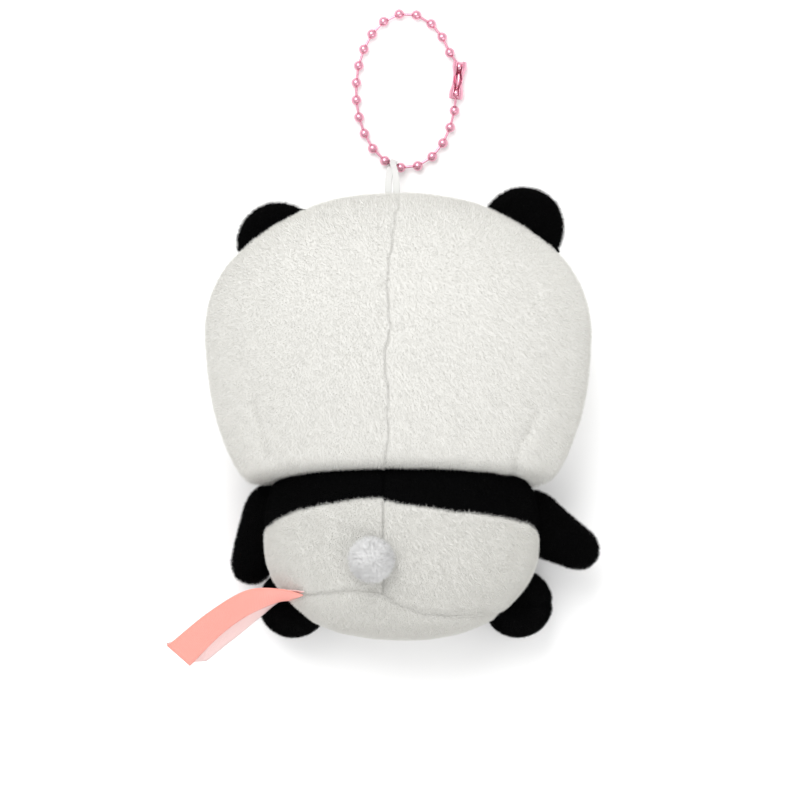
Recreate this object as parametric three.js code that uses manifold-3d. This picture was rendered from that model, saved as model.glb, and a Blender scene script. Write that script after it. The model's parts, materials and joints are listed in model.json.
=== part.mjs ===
// A panda plush key charm, lying face down on a table as it lies when it is laid out.
// Cloth panels are shells sewn round loose stuffing, the limbs are stuffed socks, and a ball
// chain with a snap clasp runs through a ribbon loop sewn into the top of the head.
// Millimetres and degrees. +Y runs from the feet to the top of the head, +Z up from the table,
// and the back of the panda faces up, so -X is its own left side.
import * as THREE from "three";
import { mergeVertices } from "three/addons/utils/BufferGeometryUtils.js";
import Module from "manifold-3d";

const wasm = await Module();
wasm.setup();

// ---- Driving dimensions ----

const GAP = 0.3; // clearance between pieces that are sewn or laid against each other
const CLOTH = 1.6; // thickness of the plush cloth, backing and pile
const SMOOTHING = 0.08; // slivers smaller than this are smoothed away

// The head and the body are rounded solids with their own reach on each side of a centre.
const SEAM_HEIGHT = 23.5; // height of the side seam, where the head is widest
const HEAD = {
  centre: [0, 0, SEAM_HEIGHT],
  side: 46,
  up: 33.6,
  down: 56,
  back: 26,
  front: 25,
  power: 2.1,
  columns: 28,
  rows: 18,
};
const BODY = {
  centre: [0.8, -48, SEAM_HEIGHT - 1],
  side: 32.8,
  up: 30,
  down: 24.3,
  back: 21,
  front: 17,
  power: 2.3,
  columns: 24,
  rows: 14,
};

// The neck seam leans: it is higher at the nape than under the chin.
const NECK_Y = -35.2; // at the height of the side seam
const NECK_LEAN = 0.23; // rise along Y for each millimetre of height
const BAND_WIDTH = 12.3; // black shoulder band below the neck seam, at the side seam
const BAND_LEAN_BACK = 0.42; // its lower edge rises faster than the neck, so it narrows
const BAND_LEAN_FRONT = 0.1;
const BAND_SLANT = -0.02;
const BASE_SEAM_Y = -63.6; // seam of the base panel, at the middle
const BASE_SEAM_SLANT = -0.1;
const HEAD_SEAM_X = -1.9; // seam down the back of the head, off the middle
const HEAD_SEAM_SLANT = 0.034;
const BODY_SEAM_X = -3.5; // seam down the back of the body

const EAR_RADIUS = 10.4;
const EAR_HALF_THICK = 2.6;
const EAR_INSIDE = 2; // how far the ear's base is sewn in
const EAR_SWING = 20;
const EARS = [
  { name: "ear_left", around: 140.7, sunk: 4.5 },
  { name: "ear_right", around: 41, sunk: 0.9 },
];

// Limbs are socks with a round root and a round tip. pointing is their direction at rest.
const ARM = { root: 7.6, tip: 5, length: 13.5, flat: 0.75 };
const ARM_HEIGHT = 17;
const ARMS = [
  { name: "arm_left", x: -29.4, y: -42.6, pointing: -115, swing: [-20, 6] },
  { name: "arm_right", x: 31.6, y: -44.5, pointing: -30, swing: [-20, 15] },
];
const LEG = { root: 7, tip: 8, flat: 1 };
const LEG_REACH = 9.8; // from hip to the middle of the foot
const HIP_HEIGHT = 17.4;
const LEG_SWING = 12;
const LEGS = [
  { name: "leg_left", x: -25.2, y: -64.4 },
  { name: "leg_right", x: 28.8, y: -64.4 },
];
const SOCK_MOUTH = 4; // radius of the hole left in a sock's root for the stuffing

const TAIL_RADIUS = 5.6;
const TAIL = { x: -6.3, y: -53, proud: 3.4, clear: 0.9 }; // clear of the body, to rock on its stitch

// The face: patches, eyes on stems held by washers, a nose on a stem, and a stitched mouth.
const PATCH_DEPTH = 0.9;
const PATCH = { x: 17, y: -4, across: 6.2, along: 8.4, lean: 28 };
const EYE_RADIUS = 3;
const EYE_X = 16;
const EYE_Y = -4;
const STEM_RADIUS = 0.9;
const STEM_LENGTH = 7;
const WASHER_RADIUS = 4;
const WASHER_THICK = 0.8;
const NOSE = { y: -12.5, across: 3.6, along: 2.4 };
const FACE_PIECE_DEPTH = 1.8; // how deep an eye or the nose is pressed into the face
const MOUTH_THREAD = 0.45;
const MOUTH_WIDTH = 5.6;
const MOUTH_DROP = 1.6;
const MOUTH_Y = -17.5;
const MOUTH_HEIGHT = MOUTH_THREAD + 0.1;

// The ball chain is laid out as an ellipse, closed by the clasp.
const BALL_RADIUS = 1.2;
const BALL_WALL = 0.25;
const BALL_PITCH = 4.15;
const WIRE_RADIUS = 0.3;
const WIRE_HEAD = 0.5;
const LEFT_BALLS = 16;
const RIGHT_BALLS = 7;
const CLASP_SPAN = 6.5; // between the two balls that the clasp holds
const CLASP_WALL = 0.3;
const CLASP_PLAY = 0.28; // between a ball and the cup that holds it
const CLASP_WAIST = 0.62; // of the cups' width
const CLASP_NECK = 0.8; // of a ball's radius, too narrow for a ball to leave by
const LOOP_HALF_WIDTH = 12.1;
const RIBBON_SPOT = { x: -1.4, y: 41.2 }; // where the ribbon holds the chain
const LOOP_OFFSET = 3.3; // the loop's middle lies this far to the right of the ribbon
const CLASP_LIFT_BALLS = 3; // balls on each side over which the chain rises to the clasp

const RIBBON_WIDTH = 1.6;
const RIBBON_THICK = 0.4;
const RIBBON_ROUND = 0.75; // inner radius of the loop round the wire
const RIBBON_SEWN = 0.5; // length inside the head
const RIBBON_NOTCH = 2.4; // reach of the notch in the top seam that the ribbon turns in
const RIBBON_TWIST = -24; // degrees, at its free end

const LABEL = { width: 10, length: 36, thick: 0.45, open: 1.1 };
const LABEL_SPOT = { x: BODY.centre[0] - 0.77 * BODY.side, y: BASE_SEAM_Y + 1.6 };
const LABEL_CLEAR = 0.5; // between the lower layer and the back, beside the seam
const LABEL_POINTING = 211;
const LABEL_DROOP = 34;

// ---- Materials ----

const fabric = (color) => new THREE.MeshStandardMaterial({ color, roughness: 0.95, metalness: 0 });
const whitePlush = fabric(0xe8e8e4);
const blackPlush = fabric(0x0b0b0d);
const pompomPlush = fabric(0xf6f6f6);
const wadding = fabric(0xf2f2f0);
const labelSatin = new THREE.MeshStandardMaterial({ color: 0xf79a8b, roughness: 0.55, metalness: 0 });
const ribbonSatin = new THREE.MeshStandardMaterial({ color: 0xe9e8e6, roughness: 0.6, metalness: 0 });
const blackPlastic = new THREE.MeshStandardMaterial({ color: 0x050505, roughness: 0.12, metalness: 0 });
const clearPlastic = new THREE.MeshStandardMaterial({ color: 0xdcdcd8, roughness: 0.4, metalness: 0 });
const mouthThread = fabric(0x15110f);
const pinkMetal = new THREE.MeshStandardMaterial({ color: 0xd9698a, roughness: 0.25, metalness: 1 });

// ---- Making and cutting solids ----

const rad = THREE.MathUtils.degToRad;
const X_AXIS = new THREE.Vector3(1, 0, 0);
const Y_AXIS = new THREE.Vector3(0, 1, 0);
const Z_AXIS = new THREE.Vector3(0, 0, 1);

function solidOf(geometry) {
  const bare = geometry.index ? geometry.toNonIndexed() : geometry.clone();
  bare.deleteAttribute("normal");
  bare.deleteAttribute("uv");
  const merged = mergeVertices(bare, 1e-4);
  const triVerts = new Uint32Array(merged.index.array);
  const vertProperties = merged.attributes.position.array;
  const made = new wasm.Manifold(new wasm.Mesh({ numProp: 3, vertProperties, triVerts }));
  if (made.volume() > 0) return made;
  return new wasm.Manifold(new wasm.Mesh({ numProp: 3, vertProperties, triVerts: triVerts.reverse() }));
}

function geometryOf(solid) {
  const mesh = solid.getMesh();
  const vertices = new Float32Array(mesh.numVert * 3);
  for (let i = 0; i < mesh.numVert; i++) {
    const start = i * mesh.numProp;
    vertices.set(mesh.vertProperties.subarray(start, start + 3), i * 3);
  }
  const geometry = new THREE.BufferGeometry();
  geometry.setAttribute("position", new THREE.BufferAttribute(vertices, 3));
  geometry.setIndex(new THREE.BufferAttribute(new Uint32Array(mesh.triVerts), 1));
  const flat = geometry.toNonIndexed();
  flat.computeVertexNormals();
  return flat;
}

const moved = (solid, matrix) => solid.transform(matrix.elements);
const turnAbout = (axis, degrees) => new THREE.Matrix4().makeRotationAxis(axis, rad(degrees));

// A plane through point, and the part of a solid on one side of it, half a gap clear.
function planeThrough(point, normal) {
  const unit = new THREE.Vector3(...normal).normalize();
  return { unit, offset: unit.dot(new THREE.Vector3(...point)) };
}

function sideOf(solid, plane, side, clearance = GAP / 2) {
  const normal = plane.unit.clone().multiplyScalar(side).toArray();
  return solid.trimByPlane(normal, side * plane.offset + clearance);
}

// A rounded solid: an ellipsoid at power 2, boxier above it, with its own reach on each side.
function puff(shape, grow = 0) {
  const ball = new THREE.SphereGeometry(1, shape.columns, shape.rows);
  const place = ball.getAttribute("position");
  const v = new THREE.Vector3();
  for (let i = 0; i < place.count; i++) {
    v.fromBufferAttribute(place, i);
    const size = ["x", "y", "z"].reduce((sum, k) => sum + Math.abs(v[k]) ** shape.power, 0);
    v.divideScalar(size ** (1 / shape.power));
    const height = v.y > 0 ? shape.up : shape.down;
    const depth = v.z > 0 ? shape.back : shape.front;
    place.setXYZ(i, v.x * (shape.side + grow), v.y * (height + grow), v.z * (depth + grow));
  }
  return solidOf(ball).translate(shape.centre);
}

const coarse = (shape) => ({ ...shape, columns: shape.columns - 8, rows: shape.rows - 6 });

// Height of a rounded solid's upper surface over a point.
function surfaceHeight(shape, x, y) {
  const across = Math.abs(x - shape.centre[0]) / shape.side;
  const rise = y - shape.centre[1];
  const along = Math.abs(rise) / (rise > 0 ? shape.up : shape.down);
  const left = Math.max(0, 1 - across ** shape.power - along ** shape.power);
  return shape.centre[2] + shape.back * left ** (1 / shape.power);
}

// A solid of revolution round +Y from a ball of radius root at the origin to a ball of radius
// tip at distance length, grown all round by grow.
function sock({ root, tip, length, flat }, grow, columns) {
  const lean = Math.asin((root - tip) / length);
  const arc = 4;
  const profile = [];
  for (let i = 0; i <= arc; i++) {
    const a = -Math.PI / 2 + ((Math.PI / 2 + lean) * i) / arc;
    profile.push(new THREE.Vector2((root + grow) * Math.cos(a), (root + grow) * Math.sin(a)));
  }
  for (let i = 0; i <= arc; i++) {
    const a = lean + ((Math.PI / 2 - lean) * i) / arc;
    profile.push(new THREE.Vector2((tip + grow) * Math.cos(a), length + (tip + grow) * Math.sin(a)));
  }
  profile[0].x = 0;
  profile[profile.length - 1].x = 0;
  return solidOf(new THREE.LatheGeometry(profile, columns)).scale([1, 1, flat]);
}

function cylinderAlongZ(radius, low, high, x, y, sides = 10) {
  const rod = new THREE.CylinderGeometry(radius, radius, high - low, sides).rotateX(Math.PI / 2);
  return solidOf(rod).translate([x, y, (low + high) / 2]);
}

const charm = new THREE.Group();

// The largest body of a cut solid: the slivers left round a limb's socket go with the seam.
const mainBody = (solid) => solid.decompose().reduce((a, b) => (a.volume() > b.volume() ? a : b));

function addPiece(parent, name, solid, material, smoothing = SMOOTHING) {
  const mesh = new THREE.Mesh(geometryOf(mainBody(solid.simplify(smoothing))), material);
  mesh.name = name;
  parent.add(mesh);
  return mesh;
}

// The space that a rounded solid sweeps as it turns a little about an axis through the origin.
function swept(solid, axis, low, high) {
  const turned = [low, high].map((degrees) => moved(solid, turnAbout(axis, degrees)));
  return wasm.Manifold.hull([solid, ...turned]).simplify(SMOOTHING * 2);
}

// ---- The seams ----

const neck = planeThrough([0, NECK_Y, SEAM_HEIGHT], [0, 1, -NECK_LEAN]);
const bandFoot = [0, NECK_Y - BAND_WIDTH, SEAM_HEIGHT];
const bandBack = planeThrough(bandFoot, [-BAND_SLANT, 1, -BAND_LEAN_BACK]);
const bandFront = planeThrough(bandFoot, [-BAND_SLANT, 1, -BAND_LEAN_FRONT]);
const baseSeam = planeThrough([0, BASE_SEAM_Y, SEAM_HEIGHT], [-BASE_SEAM_SLANT, 1, 0]);
const sideSeam = planeThrough([0, 0, SEAM_HEIGHT], [0, 0, 1]);
const headSeam = planeThrough([HEAD_SEAM_X, 0, 0], [1, -HEAD_SEAM_SLANT, 0]);
const bodySeam = planeThrough([BODY_SEAM_X, 0, 0], [1, 0, 0]);
const table = planeThrough([0, 0, 0], [0, 0, 1]);

// ---- Ears, each of a back and a front panel ----

// An ear's own frame has its hinge line along X on the head's edge, and Y pointing outwards.
function earParts({ around, sunk }) {
  const c = Math.abs(Math.cos(rad(around))) / HEAD.side;
  const s = Math.abs(Math.sin(rad(around))) / HEAD.up;
  const reach = (c ** HEAD.power + s ** HEAD.power) ** (-1 / HEAD.power);
  const hinge = new THREE.Vector3(Math.cos(rad(around)), Math.sin(rad(around)), 0);
  hinge.multiplyScalar(reach);
  hinge.z = SEAM_HEIGHT - 1;
  // outward normal of the head's outline there
  const outward = Math.atan2(hinge.y / HEAD.up ** 2, hinge.x / HEAD.side ** 2);
  const lens = (grow) => {
    const ball = new THREE.SphereGeometry(1, 16, 8).rotateX(Math.PI / 2);
    const wide = EAR_RADIUS + grow;
    return solidOf(ball)
      .scale([wide, wide, EAR_HALF_THICK + grow])
      .translate([0, -sunk, 0])
      .trimByPlane([0, 1, 0], -EAR_INSIDE - grow);
  };
  const split = planeThrough([0, 0, 0], [0, 0, 1]);
  return {
    hinge,
    turn: THREE.MathUtils.radToDeg(outward) - 90,
    back: sideOf(lens(0), split, 1),
    front: sideOf(lens(0), split, -1),
    space: swept(lens(GAP * 2), X_AXIS, -EAR_SWING, EAR_SWING),
  };
}

let earSpace = null;
for (const ear of EARS) {
  const parts = earParts(ear);
  const group = new THREE.Group();
  group.name = ear.name + "_hinge";
  group.position.copy(parts.hinge);
  group.rotation.z = rad(parts.turn);
  group.updateMatrix();
  addPiece(group, ear.name + "_back", parts.back, blackPlush);
  addPiece(group, ear.name + "_front", parts.front, blackPlush);
  charm.add(group);
  const space = moved(parts.space, group.matrix);
  earSpace = earSpace ? earSpace.add(space) : space;
}

// ---- Arms and legs: a stuffed sock each, turning about its root ----

let limbSpace = null;

function addLimb({ name, shape, position, direction, axis, swing, sole }) {
  const hip = new THREE.Vector3(...position);
  const aim = new THREE.Quaternion().setFromUnitVectors(Y_AXIS, direction);
  const aimed = new THREE.Matrix4().makeRotationFromQuaternion(aim);
  const blob = (grow, columns) => {
    const made = moved(sock(shape, grow, columns), aimed);
    return sole ? sideOf(made.translate(hip.toArray()), table, 1, -grow).translate(hip.clone().negate().toArray()) : made;
  };
  const mouth = solidOf(new THREE.CylinderGeometry(SOCK_MOUTH, SOCK_MOUTH, shape.root * 2, 12));
  const opening = moved(mouth.translate([0, -shape.root, 0]), aimed);
  const group = new THREE.Group();
  group.name = name + "_joint";
  group.position.copy(hip);
  addPiece(group, name + "_skin", blob(0, 16).subtract(blob(-CLOTH, 12)).subtract(opening), blackPlush);
  addPiece(group, name + "_stuffing", blob(-CLOTH - GAP, 12), wadding);
  charm.add(group);
  const space = swept(blob(GAP * 2, 12), axis, swing[0], swing[1]).translate(hip.toArray());
  limbSpace = limbSpace ? limbSpace.add(space) : space;
}

for (const { name, x, y, pointing, swing } of ARMS) {
  const direction = new THREE.Vector3(Math.cos(rad(pointing)), Math.sin(rad(pointing)), 0);
  addLimb({ name, shape: ARM, position: [x, y, ARM_HEIGHT], direction, axis: Z_AXIS, swing });
}
for (const { name, x, y } of LEGS) {
  addLimb({
    name,
    shape: { ...LEG, length: LEG_REACH },
    position: [x, y, HIP_HEIGHT],
    direction: new THREE.Vector3(0, 0, -1),
    axis: X_AXIS,
    swing: [-LEG_SWING, LEG_SWING],
    sole: true,
  });
}

// ---- The ribbon loop at the top of the head ----

// Its side view, from the sewn end at the head's seam down to the chain.
const chainHeight = BALL_RADIUS + GAP;
const headTop = HEAD.centre[1] + HEAD.up;
const ribbonRoute = new THREE.CatmullRomCurve3(
  [
    [headTop - RIBBON_SEWN, SEAM_HEIGHT],
    [headTop + 1.2, SEAM_HEIGHT - 0.2],
    [headTop + 4, SEAM_HEIGHT - 2.6],
    [headTop + 5.9, SEAM_HEIGHT * 0.55],
    [RIBBON_SPOT.y, chainHeight],
  ].map(([y, z]) => new THREE.Vector3(0, y, z)),
);

// The outline of the two layers, half apart either side of the route, with a round end.
function ribbonOutline(from, halfAt) {
  const steps = 12;
  const near = [];
  const far = [];
  for (let i = 0; i <= steps; i++) {
    const t = THREE.MathUtils.lerp(from, 1, i / steps);
    const p = ribbonRoute.getPointAt(t);
    const along = ribbonRoute.getTangentAt(t);
    const half = halfAt(t);
    near.push(new THREE.Vector2(p.y - along.z * half, p.z + along.y * half));
    far.push(new THREE.Vector2(p.y + along.z * half, p.z - along.y * half));
  }
  const end = ribbonRoute.getPointAt(1);
  const along = ribbonRoute.getTangentAt(1);
  const heading = Math.atan2(along.z, along.y);
  const round = [];
  for (let i = 1; i < 6; i++) {
    const a = heading + Math.PI / 2 - (Math.PI * i) / 6;
    round.push(new THREE.Vector2(end.y + halfAt(1) * Math.cos(a), end.z + halfAt(1) * Math.sin(a)));
  }
  return [...near, ...round, ...far.reverse()];
}

function ribbonLoop(grow) {
  const opening = (t) => RIBBON_ROUND * THREE.MathUtils.smoothstep(t, 0.55, 1) + 0.12;
  const outer = new THREE.Shape(ribbonOutline(0, (t) => opening(t) + RIBBON_THICK + grow));
  const inner = new THREE.Shape(ribbonOutline(0.2, (t) => Math.max(0.05, opening(t) - grow)));
  const depth = RIBBON_WIDTH + 2 * grow;
  const flat = (shape, extra) =>
    solidOf(new THREE.ExtrudeGeometry(shape, { depth: depth + 2 * extra, bevelEnabled: false }))
      .translate([0, 0, -depth / 2 - extra]);
  // the outline is drawn in Y and Z, so X, Y and Z of the extrusion go to Y, Z and X
  const standing = new THREE.Matrix4().set(0, 0, 1, RIBBON_SPOT.x, 1, 0, 0, 0, 0, 1, 0, 0, 0, 0, 0, 1);
  return moved(flat(outer, 0).subtract(flat(inner, 1)), standing);
}

// The ribbon's free end is twisted to stand square to the wire that it holds.
function twisted(solid) {
  return solid.warp((v) => {
    const share = THREE.MathUtils.smoothstep(v[1], headTop + 1, RIBBON_SPOT.y - 2);
    const turn = rad(RIBBON_TWIST) * share;
    const x = v[0] - RIBBON_SPOT.x;
    const y = v[1] - RIBBON_SPOT.y;
    v[0] = RIBBON_SPOT.x + x * Math.cos(turn) - y * Math.sin(turn) * share;
    v[1] = RIBBON_SPOT.y + x * Math.sin(turn) + y * (1 + (Math.cos(turn) - 1) * share);
  });
}
const notchWidth = RIBBON_WIDTH + 2 * GAP;
const notch = new THREE.CylinderGeometry(RIBBON_NOTCH, RIBBON_NOTCH, notchWidth, 12).rotateZ(Math.PI / 2);
const ribbonSpace = solidOf(notch).translate([RIBBON_SPOT.x, headTop - RIBBON_SEWN, SEAM_HEIGHT]);
addPiece(charm, "hang_ribbon", twisted(ribbonLoop(0)), ribbonSatin);

// ---- The face ----

const headSolid = sideOf(puff(HEAD), table, 1, 0);
const faceSkinTop = (depth) => sideOf(puff(HEAD, -depth), table, 1, depth);

function ovalColumn({ x, y, across, along, lean }, grow) {
  const oval = new THREE.CylinderGeometry(1, 1, SEAM_HEIGHT, 14).rotateX(Math.PI / 2);
  return moved(solidOf(oval).scale([across + grow, along + grow, 1]), turnAbout(Z_AXIS, lean))
    .translate([x, y, 0]);
}

// A piece let into the face to a depth, and the pocket cut for it.
const inlay = (spot, depth) => ovalColumn(spot, 0).intersect(headSolid).subtract(faceSkinTop(depth));
const pocket = (spot, depth) => ovalColumn(spot, GAP).subtract(faceSkinTop(depth + GAP));

let faceCuts = pocket({ x: 0, ...NOSE, lean: 0 }, FACE_PIECE_DEPTH);
addPiece(charm, "nose", inlay({ x: 0, ...NOSE, lean: 0 }, FACE_PIECE_DEPTH), blackPlastic);

for (const [name, side] of [["left", -1], ["right", 1]]) {
  const patchSpot = { ...PATCH, x: side * PATCH.x, lean: side * PATCH.lean };
  const eyeSpot = { x: side * EYE_X, y: EYE_Y, across: EYE_RADIUS, along: EYE_RADIUS, lean: 0 };
  const rod = (radius, low, high) => cylinderAlongZ(radius, low, high, eyeSpot.x, eyeSpot.y);
  const washerLow = STEM_LENGTH - 2 * WASHER_THICK;
  const washerHigh = washerLow + WASHER_THICK;
  const stemHole = rod(STEM_RADIUS + GAP, 0, STEM_LENGTH + GAP);
  const eyeHole = pocket(eyeSpot, FACE_PIECE_DEPTH);
  addPiece(charm, "eye_patch_" + name, inlay(patchSpot, PATCH_DEPTH).subtract(eyeHole), blackPlush);
  addPiece(charm, "eye_" + name,
    inlay(eyeSpot, FACE_PIECE_DEPTH).add(rod(STEM_RADIUS, FACE_PIECE_DEPTH - 0.5, STEM_LENGTH)),
    blackPlastic);
  addPiece(charm, "eye_washer_" + name,
    rod(WASHER_RADIUS, washerLow, washerHigh).subtract(stemHole), clearPlastic);
  faceCuts = faceCuts
    .add(pocket(patchSpot, PATCH_DEPTH))
    .add(eyeHole)
    .add(stemHole)
    .add(rod(WASHER_RADIUS + GAP, washerLow - GAP, washerHigh + GAP));
}

// The mouth is one arc of thick thread sunk in the pile.
function mouthArc(grow) {
  const route = new THREE.QuadraticBezierCurve3(
    new THREE.Vector3(-MOUTH_WIDTH / 2 - grow, MOUTH_Y + MOUTH_DROP, MOUTH_HEIGHT),
    new THREE.Vector3(0, MOUTH_Y - MOUTH_DROP, MOUTH_HEIGHT),
    new THREE.Vector3(MOUTH_WIDTH / 2 + grow, MOUTH_Y + MOUTH_DROP, MOUTH_HEIGHT),
  );
  const ring = new THREE.Shape().absarc(0, 0, MOUTH_THREAD + grow, 0, Math.PI * 2);
  const settings = { steps: 5, curveSegments: 3, extrudePath: route, bevelEnabled: false };
  return solidOf(new THREE.ExtrudeGeometry(ring, settings));
}
addPiece(charm, "mouth_stitch", mouthArc(0), mouthThread);
faceCuts = faceCuts.add(mouthArc(GAP));

// ---- Head panels and stuffing ----

const headShell = sideOf(headSolid, neck, 1)
  .subtract(sideOf(puff(coarse(HEAD), -CLOTH), table, 1, CLOTH))
  .subtract(earSpace)
  .subtract(limbSpace)
  .subtract(ribbonSpace)
  .subtract(faceCuts);
const headBack = sideOf(headShell, sideSeam, 1);
addPiece(charm, "head_back_left", sideOf(headBack, headSeam, -1), whitePlush);
addPiece(charm, "head_back_right", sideOf(headBack, headSeam, 1), whitePlush);
addPiece(charm, "face_panel", sideOf(headShell, sideSeam, -1), whitePlush);
const headFill = sideOf(puff(coarse(HEAD), -CLOTH - GAP), table, 1, CLOTH + GAP);
addPiece(charm, "head_stuffing",
  sideOf(headFill, neck, 1).subtract(earSpace).subtract(ribbonSpace).subtract(limbSpace).subtract(faceCuts),
  wadding);

// ---- Body panels and stuffing ----

const bodyShell = sideOf(puff(BODY), neck, -1)
  .subtract(puff(coarse(BODY), -CLOTH))
  .subtract(limbSpace);
const bodyBack = sideOf(bodyShell, sideSeam, 1);
const bodyFront = sideOf(bodyShell, sideSeam, -1);
const band = sideOf(bodyBack, bandBack, 1);
const lowerBack = sideOf(sideOf(bodyBack, bandBack, -1), baseSeam, 1);
addPiece(charm, "shoulder_band_left", sideOf(band, bodySeam, -1), blackPlush);
addPiece(charm, "shoulder_band_right", sideOf(band, bodySeam, 1), blackPlush);
addPiece(charm, "lower_back_left", sideOf(lowerBack, bodySeam, -1), whitePlush);
addPiece(charm, "lower_back_right", sideOf(lowerBack, bodySeam, 1), whitePlush);
addPiece(charm, "chest_band", sideOf(bodyFront, bandFront, 1), blackPlush);
addPiece(charm, "belly_panel", sideOf(sideOf(bodyFront, bandFront, -1), baseSeam, 1), whitePlush);
addPiece(charm, "base_panel", sideOf(bodyShell, baseSeam, -1), whitePlush);
addPiece(charm, "body_stuffing",
  sideOf(puff(coarse(BODY), -CLOTH - GAP), neck, -1).subtract(limbSpace), wadding);

// ---- Tail ----

const tailHeight = surfaceHeight(BODY, TAIL.x, TAIL.y) + TAIL.proud;
const tail = solidOf(new THREE.SphereGeometry(TAIL_RADIUS, 16, 10)).translate([TAIL.x, TAIL.y, tailHeight]);
addPiece(charm, "tail_pompom", tail.subtract(puff(BODY, TAIL.clear)), pompomPlush);

// ---- Care label: a satin strip folded in two, sewn in at the base seam ----

// Its own frame has the strip running along X, its width along Y, and its hinge at the origin.
function foldedLabel() {
  const { width, length, thick, open } = LABEL;
  const outline = (grow, start) => {
    const shape = new THREE.Shape();
    const top = open / 2 + grow;
    shape.moveTo(start, -top);
    shape.lineTo(length - top, -top);
    shape.absarc(length - top, 0, top, -Math.PI / 2, Math.PI / 2);
    shape.lineTo(start, top);
    return shape;
  };
  const settings = { depth: width, curveSegments: 8, bevelEnabled: false };
  const outer = solidOf(new THREE.ExtrudeGeometry(outline(thick, 0), settings));
  const inner = solidOf(new THREE.ExtrudeGeometry(outline(0, -1), { ...settings, depth: width + 2 }));
  const strip = outer.subtract(inner.translate([0, 0, -1]));
  const sewnEnd = solidOf(new THREE.BoxGeometry(thick * 2, open + thick * 2, width))
    .translate([thick, 0, width / 2]);
  return moved(strip.add(sewnEnd).translate([0, 0, -width / 2]), turnAbout(X_AXIS, 90));
}

const label = new THREE.Group();
label.name = "label_joint";
const labelHalf = [-1, 0, 1].map((end) => (end * LABEL.width) / 2);
const underLabel = labelHalf.map((v) => {
  const x = LABEL_SPOT.x - v * Math.sin(rad(LABEL_POINTING));
  return surfaceHeight(BODY, x, LABEL_SPOT.y + v * Math.cos(rad(LABEL_POINTING)));
});
const labelHeight = Math.max(...underLabel) + LABEL.open / 2 + LABEL.thick + LABEL_CLEAR;
label.position.set(LABEL_SPOT.x, LABEL_SPOT.y, labelHeight);
label.rotation.set(0, rad(LABEL_DROOP), rad(LABEL_POINTING), "ZYX");
addPiece(label, "care_label", foldedLabel(), labelSatin, 0.001);
charm.add(label);

// ---- The ball chain ----

// The loop's half length follows from the chain's own length.
const chainLength = (LEFT_BALLS + RIGHT_BALLS - 1) * BALL_PITCH + CLASP_SPAN;
function loopOf(halfLength) {
  const rise = halfLength * Math.sqrt(1 - (LOOP_OFFSET / LOOP_HALF_WIDTH) ** 2);
  const middle = new THREE.Vector2(RIBBON_SPOT.x + LOOP_OFFSET, RIBBON_SPOT.y + rise);
  return new THREE.EllipseCurve(middle.x, middle.y, LOOP_HALF_WIDTH, halfLength);
}
let shortest = LOOP_HALF_WIDTH;
let longest = chainLength;
while (longest - shortest > 0.01) {
  const tried = (shortest + longest) / 2;
  if (loopOf(tried).getLength() < chainLength) shortest = tried;
  else longest = tried;
}
const loop = loopOf(longest);

// Balls a pitch apart along the loop, starting half a pitch to one side of the ribbon.
function ballsAlong(direction, count) {
  const fine = 4000;
  const start = Math.atan2(-Math.sqrt(1 - (LOOP_OFFSET / LOOP_HALF_WIDTH) ** 2), -LOOP_OFFSET / LOOP_HALF_WIDTH);
  const at = (i) => {
    const a = start + (direction * i * Math.PI * 2) / fine;
    return new THREE.Vector3(loop.aX + loop.xRadius * Math.cos(a), loop.aY + loop.yRadius * Math.sin(a), 0);
  };
  const found = [];
  let last = at(0);
  let wanted = BALL_PITCH / 2;
  for (let i = 0; found.length < count; i++) {
    const p = at(i);
    if (p.distanceTo(last) < wanted) continue;
    found.push(p);
    last = p;
    wanted = BALL_PITCH;
  }
  return found;
}

// The balls lie on the table, and rise a little at the ribbon and where the clasp holds them.
const cupRadius = BALL_RADIUS + CLASP_PLAY + CLASP_WALL;
function laid(points) {
  return points.map((p, i) => {
    const toClasp = Math.max(0, 1 - (points.length - 1 - i) / CLASP_LIFT_BALLS);
    const toRibbon = Math.max(0, 1 - i / 2);
    const lift = toClasp * (cupRadius - BALL_RADIUS) + toRibbon * (chainHeight - BALL_RADIUS);
    return p.setZ(BALL_RADIUS + lift);
  });
}
const rightBalls = laid(ballsAlong(1, RIGHT_BALLS));
const leftBalls = laid(ballsAlong(-1, LEFT_BALLS));

// A hollow ball round the origin with a hole towards +Y, where the next wire's head goes in.
function hollowBall() {
  const inner = BALL_RADIUS - BALL_WALL;
  const hole = rad(36);
  const profile = [];
  for (let i = 0; i <= 3; i++) {
    const a = hole + ((Math.PI - hole) * i) / 3;
    profile.push(new THREE.Vector2(inner * Math.sin(a), inner * Math.cos(a)));
  }
  for (let i = 4; i >= 0; i--) {
    const a = hole + ((Math.PI - hole) * i) / 4;
    profile.push(new THREE.Vector2(BALL_RADIUS * Math.sin(a), BALL_RADIUS * Math.cos(a)));
  }
  profile[3].x = 0;
  profile[4].x = 0;
  profile.push(profile[0].clone());
  return solidOf(new THREE.LatheGeometry(profile, 8));
}

// A wire from a ball's wall at the origin along +Y, with its head at the next ball's middle.
function wireWithHead(length) {
  const start = BALL_RADIUS - BALL_WALL / 2;
  const profile = [
    [0, start],
    [WIRE_RADIUS, start],
    [WIRE_RADIUS, length - WIRE_HEAD],
    [WIRE_HEAD, length - WIRE_HEAD / 3],
    [WIRE_HEAD, length + WIRE_HEAD / 3],
    [0, length + WIRE_HEAD],
  ];
  return solidOf(new THREE.LatheGeometry(profile.map(([r, y]) => new THREE.Vector2(r, y)), 5));
}

const aimY = (from, to) => {
  const turn = new THREE.Quaternion().setFromUnitVectors(Y_AXIS, to.clone().sub(from).normalize());
  return new THREE.Matrix4().makeRotationFromQuaternion(turn);
};

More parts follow.
